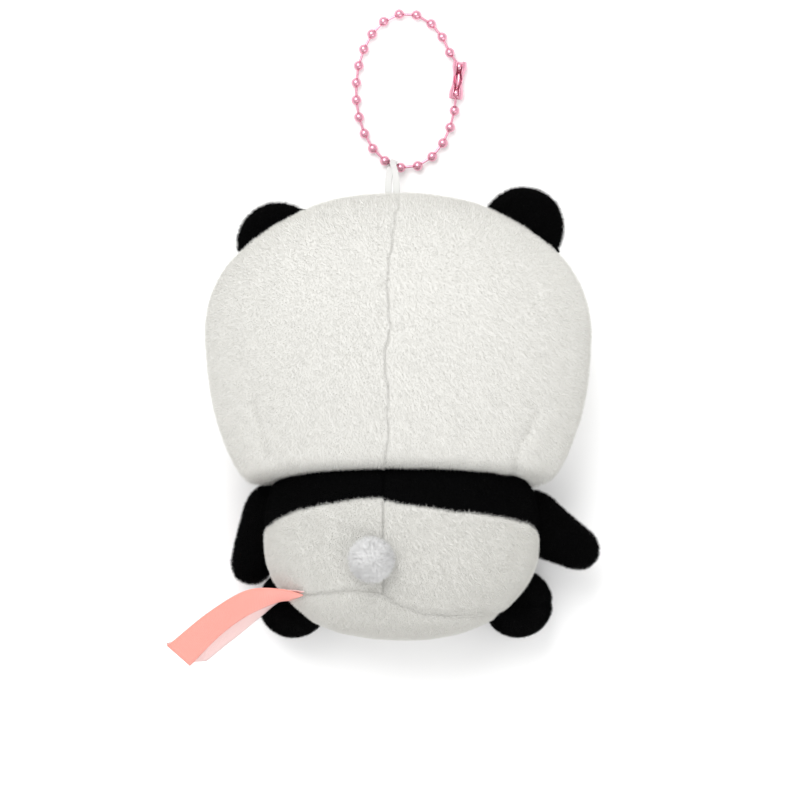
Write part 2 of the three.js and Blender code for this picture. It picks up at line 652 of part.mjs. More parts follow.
// A ball whose hole faces the ball or wire at holeTo, and whose own wire runs to wireTo.
function addBall(name, at, holeTo, wireTo) {
  let solid = moved(hollowBall(), aimY(at, holeTo));
  if (wireTo) solid = solid.add(moved(wireWithHead(at.distanceTo(wireTo)), aimY(at, wireTo)));
  addPiece(charm, name, solid, pinkMetal).position.copy(at);
}

const numbered = (side, i) => `ball_${side}_${String(i + 1).padStart(2, "0")}`;
leftBalls.forEach((at, i) => {
  const inward = i === 0 ? rightBalls[0] : leftBalls[i - 1];
  const outward = leftBalls[i + 1] ?? at.clone().multiplyScalar(2).sub(inward);
  addBall(numbered("left", i), at, outward, inward);
});
rightBalls.forEach((at, i) => {
  const inward = i === 0 ? leftBalls[0] : rightBalls[i - 1];
  addBall(numbered("right", i), at, inward, rightBalls[i + 1]);
});

// ---- The clasp: two cups joined by a trough, slotted along its top, with a keyhole for a ball ----

function claspSolid(from, to) {
  const span = from.distanceTo(to);
  const inside = BALL_RADIUS + CLASP_PLAY;
  const ball = (radius, y) => solidOf(new THREE.SphereGeometry(radius, 12, 8)).translate([0, y, 0]);
  const rod = (radius, low, high) =>
    solidOf(new THREE.CylinderGeometry(radius, radius, high - low, 12)).translate([0, (low + high) / 2, 0]);
  const waist = inside * CLASP_WAIST;
  const neckRadius = BALL_RADIUS * CLASP_NECK;
  const outer = ball(cupRadius, 0).add(ball(cupRadius, span)).add(rod(waist + CLASP_WALL, 0, span));
  const hollow = ball(inside, 0).add(ball(inside, span)).add(rod(waist, 0, span));
  const necks = rod(neckRadius, -cupRadius * 2, 0).add(rod(neckRadius, span, span * 2));
  const slot = solidOf(new THREE.BoxGeometry(WIRE_RADIUS * 4, span + cupRadius * 4, cupRadius * 2))
    .translate([0, span / 2, cupRadius]);
  const keyhole = cylinderAlongZ(BALL_RADIUS + CLASP_PLAY, 0, cupRadius * 2, 0, span / 2, 14);
  return moved(outer.subtract(hollow).subtract(necks).subtract(slot).subtract(keyhole), aimY(from, to));
}
const claspFrom = rightBalls[RIGHT_BALLS - 1];
const claspTo = leftBalls[LEFT_BALLS - 1];
addPiece(charm, "clasp", claspSolid(claspFrom, claspTo), pinkMetal).position.copy(claspFrom);

// ---- The frame: the origin at the middle of the underside ----

charm.updateMatrixWorld(true);
const bounds = new THREE.Box3().setFromObject(charm, true);
const middle = bounds.getCenter(new THREE.Vector3());
charm.position.set(-middle.x, -middle.y, -bounds.min.z);

export default charm;
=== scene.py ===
import json
import math

import bpy
import numpy as np
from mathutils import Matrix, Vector
from mathutils.bvhtree import BVHTree


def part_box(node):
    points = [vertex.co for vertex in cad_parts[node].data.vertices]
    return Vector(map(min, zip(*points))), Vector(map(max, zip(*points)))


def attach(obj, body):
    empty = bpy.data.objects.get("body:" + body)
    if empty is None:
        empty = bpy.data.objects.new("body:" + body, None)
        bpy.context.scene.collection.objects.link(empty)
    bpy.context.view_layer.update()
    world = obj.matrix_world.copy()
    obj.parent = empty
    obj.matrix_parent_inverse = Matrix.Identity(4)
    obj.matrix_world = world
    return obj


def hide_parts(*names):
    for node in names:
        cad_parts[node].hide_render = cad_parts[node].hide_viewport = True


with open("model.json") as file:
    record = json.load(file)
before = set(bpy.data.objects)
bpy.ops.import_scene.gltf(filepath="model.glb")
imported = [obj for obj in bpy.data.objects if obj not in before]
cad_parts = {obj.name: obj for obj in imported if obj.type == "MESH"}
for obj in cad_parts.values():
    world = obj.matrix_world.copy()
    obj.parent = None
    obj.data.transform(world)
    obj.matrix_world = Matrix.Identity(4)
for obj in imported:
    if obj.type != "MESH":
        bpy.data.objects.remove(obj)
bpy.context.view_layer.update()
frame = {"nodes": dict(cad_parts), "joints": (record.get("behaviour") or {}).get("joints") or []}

# ---- The table, the light and the camera ----
# The charm lies face down on a white table and is looked at from straight above its back.
# A wide soft light hangs over the head end, and a weaker one fills in from the feet.

scene = bpy.context.scene
scene.view_settings.view_transform = "Standard"
EYE_HEIGHT = 1.6
VIEW_WIDTH = 0.192
VIEW_PLANE = 0.012
VIEW_MIDDLE = (0.0027, -0.0141)

camera = bpy.data.objects.new("camera", bpy.data.cameras.new("camera"))
camera.location = (*VIEW_MIDDLE, EYE_HEIGHT)
camera.data.sensor_width = 36
camera.data.lens = 36 * (EYE_HEIGHT - VIEW_PLANE) / VIEW_WIDTH
camera.data.clip_end = 20
scene.collection.objects.link(camera)
scene.camera = camera


def soft_light(name, place, aim, size, watts):
    lamp = bpy.data.lights.new(name, "AREA")
    lamp.shape = "DISK"
    lamp.size = size
    lamp.energy = watts
    holder = bpy.data.objects.new(name, lamp)
    holder.location = place
    holder.rotation_euler = (Vector(aim) - Vector(place)).to_track_quat("-Z", "Y").to_euler()
    scene.collection.objects.link(holder)


soft_light("light_over_head", (-0.3, 0.6, 1.05), (0, 0, 0), 0.9, 9.5)
soft_light("light_from_feet", (0.55, -0.8, 0.9), (0, 0, 0), 1.0, 4.2)
world = bpy.data.worlds.new("studio")
world.use_nodes = True
world.node_tree.nodes["Background"].inputs["Color"].default_value = (1.0, 1.0, 1.0, 1)
world.node_tree.nodes["Background"].inputs["Strength"].default_value = 0.95
scene.world = world


def new_material(name, color, roughness, metallic=0.0):
    material = bpy.data.materials.new(name)
    material.use_nodes = True
    shader = material.node_tree.nodes["Principled BSDF"]
    shader.inputs["Base Color"].default_value = (*color, 1)
    shader.inputs["Roughness"].default_value = roughness
    shader.inputs["Metallic"].default_value = metallic
    return material, material.node_tree, shader


def mesh_object(name, vertices, faces, material, smooth=True):
    mesh = bpy.data.meshes.new(name)
    mesh.from_pydata([tuple(v) for v in vertices], [], [tuple(f) for f in faces])
    mesh.materials.append(material)
    mesh.polygons.foreach_set("use_smooth", [smooth] * len(mesh.polygons))
    mesh.update()
    piece = bpy.data.objects.new(name, mesh)
    scene.collection.objects.link(piece)
    return piece


table_white = new_material("table_white", (0.98, 0.98, 0.98), 0.6)[0]
table = mesh_object(
    "table", [(-4, -4, -0.0002), (4, -4, -0.0002), (4, 4, -0.0002), (-4, 4, -0.0002)],
    [(0, 1, 2, 3)], table_white, smooth=False,
)

# ---- Plush cloth ----
# Short-pile plush: a knitted backing with upright fibres that lean towards the feet. It is
# cut into panels and sewn inside out, so the seams show only as soft grooves in the pile.

PILE_LENGTH = 0.0009
PILE_WIDTH = 0.0001
CLOTH_THICK = 0.0011
FILL_FRAMES = 20  # how long the cloth is left to settle
DART_DEPTH, DART_WIDTH = 0.0005, 0.0012
PUCKER_SPACING = 0.0085  # between the small pulls beside a seam
GATHER_DEPTH, GATHER_SPACING, GATHER_ABOVE = 0.0007, 0.0042, 0.03
LUMP_HEIGHT, LUMP_SPACING = 0.00022, 0.018  # uneven stuffing under the cloth
UPPER_SIDE = 0.022  # darts are on the cloth above this height
STUFFING_INSET = 0.0020
STUFFING_FLOOR = 0.0026
CLOTH_FLOOR = 0.0003
LIES_BELOW = 0.0012  # cloth this low lies pressed on the table, and is held there


def effect_group(name, inputs, outputs):
    """An empty shader group with named sockets, for an effect that several materials share."""
    tree = bpy.data.node_groups.new(name, "ShaderNodeTree")
    for way, sockets in (("INPUT", inputs), ("OUTPUT", outputs)):
        for socket, kind in sockets.items():
            tree.interface.new_socket(socket, in_out=way, socket_type="NodeSocket" + kind)
    given = tree.nodes.new("NodeGroupInput").outputs
    end = tree.nodes.new("NodeGroupOutput").inputs
    return tree, tree.nodes, tree.links, given, end


def use_effect(material_tree, shader, group, feeds, **values):
    """Places a shared effect in a material with its own values, and feeds the shader from it."""
    placed = material_tree.nodes.new("ShaderNodeGroup")
    placed.node_tree = group
    for socket, value in values.items():
        placed.inputs[socket].default_value = value
    for output, socket in feeds.items():
        material_tree.links.new(placed.outputs[output], shader.inputs[socket])


def fibre_shade():
    """Fibres that pale from root to tip: the darker root is painted shade among the fibres, and the
    cloth under the pile takes the root colour. With chance differences and soft clumps.
    """
    tree, nodes, links, given, end = effect_group(
        "fibre_shade", {"Tip": "Color", "Root": "Color"}, {"Color": "Color"})
    along = nodes.new("ShaderNodeAttribute")
    along.attribute_name = "along"
    tint = nodes.new("ShaderNodeAttribute")
    tint.attribute_name = "tint"
    fibre = nodes.new("ShaderNodeMix")
    fibre.data_type = "RGBA"
    links.new(given["Root"], fibre.inputs["A"])
    links.new(given["Tip"], fibre.inputs["B"])
    links.new(along.outputs["Fac"], fibre.inputs["Factor"])
    place = nodes.new("ShaderNodeTexCoord")
    clumps = nodes.new("ShaderNodeTexNoise")
    clumps.inputs["Scale"].default_value = 420
    clumps.inputs["Detail"].default_value = 3
    links.new(place.outputs["Object"], clumps.inputs["Vector"])
    mixed = nodes.new("ShaderNodeMath")
    mixed.operation = "MULTIPLY_ADD"
    mixed.inputs[1].default_value = 0.06
    mixed.inputs[2].default_value = 0.91
    links.new(tint.outputs["Fac"], mixed.inputs[0])
    shade = nodes.new("ShaderNodeMath")
    shade.operation = "MULTIPLY_ADD"
    shade.inputs[1].default_value = 0.07
    links.new(clumps.outputs["Fac"], shade.inputs[0])
    links.new(mixed.outputs[0], shade.inputs[2])
    color = nodes.new("ShaderNodeVectorMath")
    color.operation = "SCALE"
    links.new(fibre.outputs["Result"], color.inputs[0])
    links.new(shade.outputs[0], color.inputs["Scale"])
    links.new(color.outputs["Vector"], end["Color"])
    return tree


fibre_shades = fibre_shade()


def plush_material(name, tip, root, sheen):
    material, tree, shader = new_material(name, tip, 0.9)
    shader.inputs["Sheen Weight"].default_value = sheen
    shader.inputs["Sheen Roughness"].default_value = 0.6
    shader.inputs["Specular IOR Level"].default_value = 0.12 if sheen else 0.06
    use_effect(tree, shader, fibre_shades, {"Color": "Base Color"}, Tip=(*tip, 1), Root=(*root, 1))
    return material


# Each plush's second colour is painted shade: its fibres darken to it at the root, and the cloth under
# the pile takes it.
white_plush = plush_material("white_plush", (0.745, 0.738, 0.708), (0.69, 0.684, 0.656), 0.1)
black_plush = plush_material("black_plush", (0.0022, 0.0022, 0.0025), (0.0014, 0.0014, 0.0015), 0.0)
pompom_plush = plush_material("pompom_plush", (0.97, 0.97, 0.965), (0.95, 0.95, 0.945), 0.35)


def pile_tree():
    """Fibres scattered over the cloth, leaning along Comb, with the cloth's own normals."""
    tree = bpy.data.node_groups.new("pile", "GeometryNodeTree")
    sockets = {}
    for name, kind, default in (
        ("Cloth", "Geometry", None),
        ("Fibres", "Float", 1e7),
        ("Length", "Float", PILE_LENGTH),
        ("Width", "Float", PILE_WIDTH),
        ("Comb", "Vector", (0, -0.3, 0)),
        ("Unrest", "Float", 0.5),
        ("Relief", "Float", 0.12),
        ("Seed", "Int", 1),
        ("Plush", "Material", None),
    ):
        socket = tree.interface.new_socket(name, in_out="INPUT", socket_type="NodeSocket" + kind)
        if default is not None:
            socket.default_value = default
        sockets[name] = socket.identifier
    tree.interface.new_socket("Cloth", in_out="OUTPUT", socket_type="NodeSocketGeometry")
    nodes, links = tree.nodes, tree.links

    def add(kind, **settings):
        node = nodes.new(kind)
        for key, value in settings.items():
            setattr(node, key, value)
        return node

    given = add("NodeGroupInput").outputs
    scatter = add("GeometryNodeDistributePointsOnFaces", distribute_method="RANDOM")
    face_side = add("GeometryNodeInputMaterialIndex")
    outside = add("FunctionNodeCompare", data_type="INT", operation="EQUAL")
    links.new(face_side.outputs[0], outside.inputs[2])
    links.new(outside.outputs[0], scatter.inputs["Selection"])
    links.new(given["Cloth"], scatter.inputs["Mesh"])
    links.new(given["Fibres"], scatter.inputs["Density"])
    links.new(given["Seed"], scatter.inputs["Seed"])

    fibre = add("GeometryNodeMeshCone", fill_type="NONE")
    fibre.inputs["Vertices"].default_value = 3
    fibre.inputs["Radius Top"].default_value = 0
    half = add("ShaderNodeMath", operation="MULTIPLY")
    half.inputs[1].default_value = 0.5
    links.new(given["Width"], half.inputs[0])
    links.new(half.outputs[0], fibre.inputs["Radius Bottom"])
    links.new(given["Length"], fibre.inputs["Depth"])
    point = add("GeometryNodeInputPosition")
    height = add("ShaderNodeSeparateXYZ")
    links.new(point.outputs[0], height.inputs[0])
    share = add("ShaderNodeMath", operation="DIVIDE")
    links.new(height.outputs["Z"], share.inputs[0])
    links.new(given["Length"], share.inputs[1])
    along = add("GeometryNodeStoreNamedAttribute", data_type="FLOAT", domain="POINT")
    along.inputs["Name"].default_value = "along"
    links.new(fibre.outputs["Mesh"], along.inputs["Geometry"])
    links.new(share.outputs[0], along.inputs["Value"])

    tuft = add("ShaderNodeTexNoise")
    tuft.inputs["Scale"].default_value = 260
    centred = add("ShaderNodeVectorMath", operation="SUBTRACT")
    centred.inputs[1].default_value = (0.5, 0.5, 0.5)
    links.new(tuft.outputs["Color"], centred.inputs[0])
    stray = add("FunctionNodeRandomValue", data_type="FLOAT_VECTOR")
    stray.inputs[0].default_value = (-0.8, -0.8, -0.8)
    stray.inputs[1].default_value = (0.8, 0.8, 0.8)
    links.new(given["Seed"], stray.inputs["Seed"])
    together = add("ShaderNodeVectorMath", operation="MULTIPLY_ADD")
    together.inputs[1].default_value = (0.8, 0.8, 0.8)
    links.new(centred.outputs[0], together.inputs[0])
    links.new(stray.outputs[0], together.inputs[2])
    unrest = add("ShaderNodeVectorMath", operation="SCALE")
    links.new(together.outputs[0], unrest.inputs[0])
    links.new(given["Unrest"], unrest.inputs["Scale"])
    combed = add("ShaderNodeVectorMath", operation="ADD")
    links.new(scatter.outputs["Normal"], combed.inputs[0])
    links.new(given["Comb"], combed.inputs[1])
    aim = add("ShaderNodeVectorMath", operation="ADD")
    links.new(combed.outputs[0], aim.inputs[0])
    links.new(unrest.outputs[0], aim.inputs[1])
    turn = add("FunctionNodeAlignRotationToVector", axis="Z")
    links.new(aim.outputs[0], turn.inputs["Vector"])

    tint = add("FunctionNodeRandomValue", data_type="FLOAT")
    links.new(given["Seed"], tint.inputs["Seed"])
    tinted = add("GeometryNodeStoreNamedAttribute", data_type="FLOAT", domain="POINT")
    tinted.inputs["Name"].default_value = "tint"
    links.new(scatter.outputs["Points"], tinted.inputs["Geometry"])
    links.new(tint.outputs[1], tinted.inputs["Value"])
    facing = add("GeometryNodeStoreNamedAttribute", data_type="FLOAT_VECTOR", domain="POINT")
    facing.inputs["Name"].default_value = "facing"
    links.new(tinted.outputs[0], facing.inputs["Geometry"])
    links.new(scatter.outputs["Normal"], facing.inputs["Value"])

    plant = add("GeometryNodeInstanceOnPoints")
    links.new(facing.outputs[0], plant.inputs["Points"])
    links.new(along.outputs[0], plant.inputs["Instance"])
    links.new(turn.outputs[0], plant.inputs["Rotation"])
    size = add("FunctionNodeRandomValue", data_type="FLOAT")
    size.inputs[2].default_value = 0.6
    size.inputs[3].default_value = 1.1
    links.new(size.outputs[1], plant.inputs["Scale"])
    real = add("GeometryNodeRealizeInstances")
    links.new(plant.outputs[0], real.inputs[0])
    lit = add("GeometryNodeSetMeshNormal", mode="FREE", domain="POINT")
    cloth_normal = add("GeometryNodeInputNamedAttribute", data_type="FLOAT_VECTOR")
    cloth_normal.inputs["Name"].default_value = "facing"
    own = add("GeometryNodeInputNormal")
    mixed = add("ShaderNodeVectorMath", operation="MULTIPLY_ADD")
    links.new(given["Relief"], mixed.inputs[1])
    links.new(own.outputs[0], mixed.inputs[0])
    links.new(cloth_normal.outputs[0], mixed.inputs[2])
    unit = add("ShaderNodeVectorMath", operation="NORMALIZE")
    links.new(mixed.outputs[0], unit.inputs[0])
    links.new(real.outputs[0], lit.inputs["Mesh"])
    links.new(unit.outputs[0], lit.inputs["Custom Normal"])
    tidy = add("GeometryNodeRemoveAttribute")
    tidy.inputs["Name"].default_value = "facing"
    links.new(lit.outputs[0], tidy.inputs["Geometry"])
    joined = add("GeometryNodeJoinGeometry")
    links.new(tidy.outputs[0], joined.inputs[0])
    links.new(given["Cloth"], joined.inputs[0])
    finish = add("GeometryNodeSetMaterial")
    links.new(joined.outputs[0], finish.inputs["Geometry"])
    links.new(given["Plush"], finish.inputs["Material"])
    end = add("NodeGroupOutput")
    links.new(finish.outputs[0], end.inputs[0])
    return tree, sockets


pile, pile_sockets = pile_tree()
piece_seed = 0


def grow_pile(piece, plush, most=60000, density=2.4e7, **settings):
    """Turns a cloth piece into the same piece with its pile on it."""
    global piece_seed
    piece_seed += 1
    area = sum(p.area for p in piece.data.polygons if p.material_index == 0)
    values = {"Fibres": min(density, most / area), "Seed": piece_seed, "Plush": plush, **settings}
    modifier = piece.modifiers.new("pile", "NODES")
    modifier.node_group = pile
    for name, value in values.items():
        modifier[pile_sockets[name]] = value
    made = bpy.data.meshes.new_from_object(piece.evaluated_get(bpy.context.evaluated_depsgraph_get()))
    piece.modifiers.clear()
    piece.data = made
    made.materials.clear()
    made.materials.append(plush)
    made.polygons.foreach_set("material_index", [0] * len(made.polygons))
    points = points_of(piece)
    points[:, 2] = np.maximum(points[:, 2], 0.0)
    set_points(piece, points)
    return piece


def cad_vertices(node):
    mesh = frame["nodes"][node].data
    flat = np.empty(len(mesh.vertices) * 3)
    mesh.vertices.foreach_get("co", flat)
    return flat.reshape(-1, 3), [tuple(p.vertices) for p in mesh.polygons]


def joined_form(name, nodes, voxel):
    """One closed skin over several solids, with evenly spread faces."""
    vertices, faces = [], []
    for node in nodes:
        points, polygons = cad_vertices(node)
        faces += [tuple(len(vertices) + i for i in p) for p in polygons]
        vertices += list(points)
    form = mesh_object(name, vertices, faces, white_plush)
    remesh = form.modifiers.new("remesh", "REMESH")
    remesh.mode = "VOXEL"
    remesh.voxel_size = voxel
    remesh.use_smooth_shade = True
    smooth = form.modifiers.new("smooth", "SMOOTH")
    smooth.factor = 0.5
    smooth.iterations = 8
    apply_modifiers(form)
    return form


def apply_modifiers(piece):
    made = bpy.data.meshes.new_from_object(piece.evaluated_get(bpy.context.evaluated_depsgraph_get()))
    piece.modifiers.clear()
    piece.data = made


def points_of(piece):
    flat = np.empty(len(piece.data.vertices) * 3)
    piece.data.vertices.foreach_get("co", flat)
    return flat.reshape(-1, 3)


def set_points(piece, points):
    piece.data.vertices.foreach_set("co", np.asarray(points, dtype=float).ravel())
    piece.data.update()


def normals_of(piece):
    flat = np.empty(len(piece.data.vertices) * 3)
    piece.data.vertices.foreach_get("normal", flat)
    return flat.reshape(-1, 3)


def panel_distances(points, panels):
    """How far each point is from each cut panel."""
    away = np.empty((len(points), len(panels)))
    for k, node in enumerate(panels):
        vertices, faces = cad_vertices(node)
        tree = BVHTree.FromPolygons([tuple(v) for v in vertices], faces)
        away[:, k] = [tree.find_nearest(Vector(p))[3] for p in points]
    return away


def seam_reach(points, panels):
    """Each point's distance from the nearest seam between two panels."""
    if len(panels) < 2:
        return np.full(len(points), 1.0)
    away = np.sort(panel_distances(points, panels), axis=1)
    return away[:, 1] - away[:, 0]


def fill_out(form, held, pressure, most):
    """Blows the cloth out against its held seams, and caps how far it moves."""
    before = points_of(form)
    group = form.vertex_groups.new(name="held")
    group.add([int(i) for i in np.flatnonzero(held)], 1.0, "REPLACE")
    cloth = form.modifiers.new("cloth", "CLOTH")
    settings = cloth.settings
    settings.vertex_group_mass = "held"
    settings.quality = 6
    settings.mass = 0.05
    settings.tension_stiffness = 12
    settings.compression_stiffness = 6
    settings.bending_stiffness = 0.4
    settings.use_pressure = True
    settings.uniform_pressure_force = pressure
    settings.effector_weights.gravity = 0
    cloth.point_cache.frame_start = 1
    cloth.point_cache.frame_end = FILL_FRAMES
    for number in range(1, FILL_FRAMES + 1):
        scene.frame_set(number)
    apply_modifiers(form)
    scene.frame_set(1)
    move = points_of(form) - before
    move = np.nan_to_num(move)
    length = np.linalg.norm(move, axis=1, keepdims=True)
    set_points(form, before + move * np.minimum(1, most / np.maximum(length, 1e-9)))


def refine(form):
    form.vertex_groups.clear()
    finer = form.modifiers.new("finer", "SUBSURF")
    finer.levels = finer.render_levels = 1
    apply_modifiers(form)


def ripple(points, scale, seed):
    """A smooth unevenness between -1 and 1."""
    chance = np.random.default_rng(seed)
    total = np.zeros(len(points))
    for _ in range(6):
        way = chance.normal(size=3)
        way /= np.linalg.norm(way)
        phase = points @ way * (2 * math.pi / scale) * chance.uniform(0.6, 1.5)
        total += np.sin(phase + chance.uniform(0, 6.3))
    return total / 6


def line_reach(points, line):
    """Distance, seen from above, from a line of stitches across the upper side."""
    near = np.full(len(points), 1.0)
    for (ax, ay), (bx, by) in zip(line, line[1:]):
        ahead = np.array((bx - ax, by - ay))
        share = np.clip(((points[:, :2] - (ax, ay)) @ ahead) / (ahead @ ahead), 0, 1)
        foot = np.array((ax, ay)) + share[:, None] * ahead
        near = np.minimum(near, np.linalg.norm(points[:, :2] - foot, axis=1))
    return np.where(points[:, 2] > UPPER_SIDE, near, 1.0)


def pull_seams(form, reach, depth, width, seed, darts=(), gathered=None):
    """Draws the thread tight: the cloth dips along each seam and puckers beside it."""
    points = points_of(form)
    dip = depth * np.exp(-((reach / width) ** 2))
    for line in darts:
        dip += DART_DEPTH * np.exp(-((line_reach(points, line) / DART_WIDTH) ** 2))
    pucker = 0.35 * depth * ripple(points, PUCKER_SPACING, seed) * np.exp(-((reach / (width * 3)) ** 2))
    if gathered:
        x, y, around = gathered
        aside = ((points[:, 0] - x) / (around * 0.45)) ** 2 + ((points[:, 1] - y) / around) ** 2
        pull = GATHER_DEPTH * ripple(points, GATHER_SPACING, seed + 2)
        pucker += pull * np.exp(-aside) * (points[:, 2] > GATHER_ABOVE)
    lumps = LUMP_HEIGHT * ripple(points, LUMP_SPACING, seed + 1)
    moved = points - normals_of(form) * (dip + pucker - lumps)[:, None]
    moved[:, 2] = np.maximum(moved[:, 2], CLOTH_FLOOR)
    set_points(form, moved)


def cut_panels(form, panels, drift):
    """Parts the finished skin into its panels, each a cloth with its own thickness."""
    mesh = form.data
    centres = np.empty(len(mesh.polygons) * 3)
    mesh.polygons.foreach_get("center", centres)
    nearest = panel_distances(drift(centres.reshape(-1, 3)), panels).argmin(axis=1)
    points = points_of(form)
    sides = {}
    for p, k in zip(mesh.polygons, nearest):
        for edge in p.edge_keys:
            sides.setdefault(edge, set()).add(k)
    border = np.array([edge for edge, owners in sides.items() if len(owners) > 1])
    for _ in range(10):  # the cut edges run smoothly, not from face to face
        total = np.zeros_like(points)
        count = np.zeros(len(points))
        for a, b in ((0, 1), (1, 0)) if len(border) else ():
            np.add.at(total, border[:, a], points[border[:, b]])
            np.add.at(count, border[:, a], 1)
        on_border = count == 2
        points[on_border] = (points[on_border] + total[on_border] / 2) / 2
    cut = {}
    for k, node in enumerate(panels):
        kept = [tuple(p.vertices) for p, n in zip(mesh.polygons, nearest) if n == k]
        used = sorted({i for f in kept for i in f})
        place = {old: new for new, old in enumerate(used)}
        piece = mesh_object(
            node + "_plush", points[used], [tuple(place[i] for i in f) for f in kept], white_plush)
        wall = piece.modifiers.new("wall", "SOLIDIFY")
        wall.thickness = CLOTH_THICK
        wall.offset = -1
        wall.material_offset = wall.material_offset_rim = 1  # marks the sides without pile
        piece.data.materials.append(white_plush)
        apply_modifiers(piece)
        cut[node] = piece
    return cut


def filling(name, form, *nodes):
    """Loose fibre inside the skin: the skin's own shape, drawn in, with a lumpy surface."""
    points = points_of(form) - normals_of(form) * STUFFING_INSET
    points[:, 2] = np.maximum(points[:, 2], STUFFING_FLOOR)
    piece = mesh_object(name, points, [tuple(p.vertices) for p in form.data.polygons], wadding)
    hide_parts(*nodes)
    return piece


wadding, wadding_tree, wadding_shader = new_material("wadding", (0.88, 0.88, 0.87), 0.95)
fluff = wadding_tree.nodes.new("ShaderNodeTexNoise")
fluff.inputs["Scale"].default_value = 500
fluff.inputs["Detail"].default_value = 6
wadding_place = wadding_tree.nodes.new("ShaderNodeTexCoord")
wadding_bump = wadding_tree.nodes.new("ShaderNodeBump")
wadding_bump.inputs["Distance"].default_value = 0.0005
wadding_tree.links.new(wadding_place.outputs["Object"], fluff.inputs["Vector"])
wadding_tree.links.new(fluff.outputs["Fac"], wadding_bump.inputs["Height"])
wadding_tree.links.new(wadding_bump.outputs["Normal"], wadding_shader.inputs["Normal"])

PLUSH = {"white_plush": white_plush, "black_plush": black_plush}


def sewn_bag(name, panels, stuffing, body, plush, voxel, groove, hairs, seed, pressure=4.0,
             most=0.001, edge=None, black=(), drift=lambda points: points, darts=(), gathered=None,
             **settings):
    """A stuffed bag of cut panels: skin, seams, filling and pile, all on one body."""
    reach_of = edge or (lambda points: seam_reach(drift(points), panels))
    form = joined_form(name, panels + stuffing, voxel)
    points = points_of(form)
    reach = reach_of(points)
    fill_out(form, (reach < voxel * 0.8) | (points[:, 2] < LIES_BELOW), pressure, most)
    if stuffing:
        inner = filling(name + "_filling", form, *stuffing)
        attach(inner, body)
    refine(form)
    pull_seams(form, reach_of(points_of(form)), *groove, seed, darts, gathered)
    for node, panel in cut_panels(form, panels, drift).items():
        cloth = "black_plush" if node in black else plush
        grow_pile(panel, PLUSH[cloth], most=hairs, **settings)
        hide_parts(node)
        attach(panel, body)
    bpy.data.objects.remove(form)


# ---- Head ----
# Two back panels meet at a seam down the middle and join the face panel along the side seam.
# The bag is stuffed tight through a gap in the back seam, which is then closed by hand: its
# stitches pull the cloth into small puckers. A dart at each lower corner rounds the nape.


def head_drift(points):
    """Where the sewn seam has crept sideways from the cut edge."""
    along = (-0.0288, -0.0122, -0.0024, 0.0027, 0.0130, 0.0240, 0.0329)
    crept = (0.0002, -0.0001, -0.0011, 0.0001, -0.0012, -0.0003, 0.0010)
    moved = points.copy()
    moved[:, 0] -= np.interp(points[:, 1], along, crept)
    return moved


head_darts = [
    ((-0.0322, -0.0150), (-0.0303, -0.0215), (-0.0288, -0.0270)),
    ((0.0348, -0.0180), (0.0302, -0.0266), (0.0297, -0.0315)),
]
sewn_bag("head", ["face_panel", "head_back_left", "head_back_right"], ["head_stuffing"], "plush",
         "white_plush", voxel=0.0016, most=0.0012, groove=(0.00012, 0.0013), hairs=58000, seed=11,
         drift=head_drift, darts=head_darts, gathered=(-0.0005, 0.0040, 0.0095))

# ---- Body ----
# White panels with a black band across the shoulders and the chest. The back has a seam down
# the middle, and the base panel is sewn on below it.


def base_drift(points):
    """Where the base seam and the band's lower edge have crept from the cut line."""
    along = (-0.0194, -0.0141, -0.0086, -0.0026, -0.0004, 0.0022, 0.0058, 0.0082, 0.0147, 0.0243)
    crept = (-0.0002, 0.0012, 0.0024, 0.0027, 0.0018, -0.0005, -0.0011, -0.0020, -0.0018, -0.0002)
    band_along = (-0.0290, -0.0237, -0.0119, -0.0024, 0.0024, 0.0161, 0.0296, 0.0344)
    band_crept = (-0.0009, -0.0003, 0.0004, 0.0011, -0.0004, -0.0016, -0.0008, 0.0002)
    moved = points.copy()
    upper = np.clip((points[:, 2] - 0.024) / 0.006, 0, 1)
    low = np.clip((-0.0500 - points[:, 1]) / 0.004, 0, 1)
    high = np.clip((points[:, 1] + 0.0480) / 0.003, 0, 1) * (points[:, 1] < -0.0345)
    moved[:, 1] -= np.interp(points[:, 0], along, crept) * upper * low
    moved[:, 1] -= np.interp(points[:, 0], band_along, band_crept) * upper * high
    return moved


body_panels = ["shoulder_band_left", "shoulder_band_right", "chest_band", "lower_back_left",
               "lower_back_right", "belly_panel", "base_panel"]
sewn_bag("body", body_panels, ["body_stuffing"], "plush", "white_plush", black=body_panels[:3],
         voxel=0.0013, groove=(0.0004, 0.0007), hairs=40000, seed=23, drift=base_drift)

# ---- Ears ----
# Each ear is a half-round pocket of black plush in two layers, hardly stuffed, with its
# straight edge caught in the head's side seam.

for side in ("left", "right"):
    sewn_bag("ear_" + side, [f"ear_{side}_back", f"ear_{side}_front"], [], "ear_" + side,
             "black_plush", voxel=0.0008, pressure=2.0, most=0.0005, groove=(0.0003, 0.0007),
             hairs=20000, seed=31, Length=0.0012, Unrest=0.8, Relief=0.3)

# ---- Arms and legs ----
# Each is a stuffed black sock of two layers, sewn to the body by its open end, so it can be
# bent a little. The seam between its layers runs all round its outline.

for part in ("arm", "leg"):
    for side in ("left", "right"):
        limb = f"{part}_{side}"
        low, high = (Vector(v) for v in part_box(limb + "_skin"))
        middle = (low + high) / 2
        across = 2 if part == "arm" else 1
        sewn_bag(limb, [limb + "_skin"], [limb + "_stuffing"], limb, "black_plush", voxel=0.0011,
                 groove=(0.0004, 0.0008), hairs=24000, seed=41, Length=0.0011, Unrest=0.8,
                 Relief=0.3,
                 edge=lambda points: np.abs(points[:, across] - middle[across]))

# ---- Tail ----
# A round pompom of long white fibre, gathered at one point and stitched to the back.

